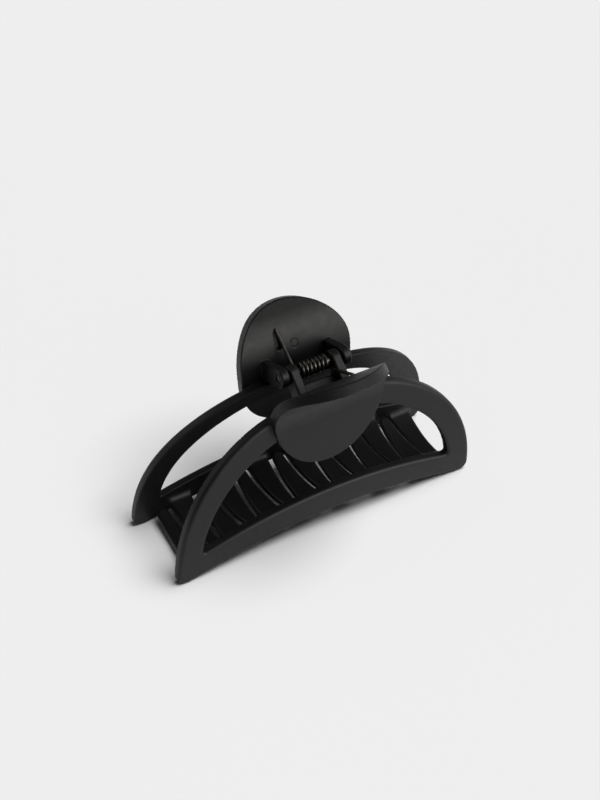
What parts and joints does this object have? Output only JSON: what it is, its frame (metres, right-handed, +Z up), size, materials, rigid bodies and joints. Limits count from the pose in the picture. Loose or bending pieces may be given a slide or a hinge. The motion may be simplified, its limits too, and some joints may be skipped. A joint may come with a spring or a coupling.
{
  "type": "claw hair clip",
  "caption": "Matte claw hair clip with open half-moon jaws, interleaving curved teeth, round thumb paddles and a sprung pin hinge that opens when the paddles are squeezed.",
  "frame": {"origin": "on the table, midway between the four feet of the closed clip", "axes": "+X along the clip and parallel to the hinge pin, -Y towards the front jaw, +Z up from the feet to the thumb paddles"},
  "size_m": [0.105, 0.0472, 0.0638],
  "materials": {
    "black_plastic": "fine matt injection-moulded black plastic",
    "pin_steel": "drawn steel rod",
    "spring_steel": "dark oil-tempered spring wire with a bronze sheen"
  },
  "bodies": {
    "rear_jaw": {"rear_frame": "black_plastic", "rear_teeth": "black_plastic", "rear_thumb_paddle": "black_plastic", "rear_hinge_lugs": "black_plastic", "hinge_pin": "pin_steel", "spring_rear_leg": "spring_steel"},
    "front_jaw": {"front_frame": "black_plastic", "front_teeth": "black_plastic", "front_thumb_paddle": "black_plastic", "front_hinge_lugs": "black_plastic", "spring_front_leg": "spring_steel"},
    "spring_coil": {"spring_coil": "spring_steel"}
  },
  "joints": [
    {"name": "jaw_hinge", "type": "hinge", "parent": "rear_jaw", "child": "front_jaw", "pos_m": [0, 0, 0.0535], "axis": [-1, 0, 0], "range_deg": [0, 90], "stiffness_Nm_per_rad": 0.085, "springref_deg": -28.65},
    {"name": "coil_wind", "type": "hinge", "parent": "rear_jaw", "child": "spring_coil", "pos_m": [0, 0, 0.0535], "axis": [-1, 0, 0], "range_deg": [0, 45]}
  ],
  "couplings": [
    {"joint": "coil_wind", "follows": "jaw_hinge", "ratio": 0.5}
  ]
}
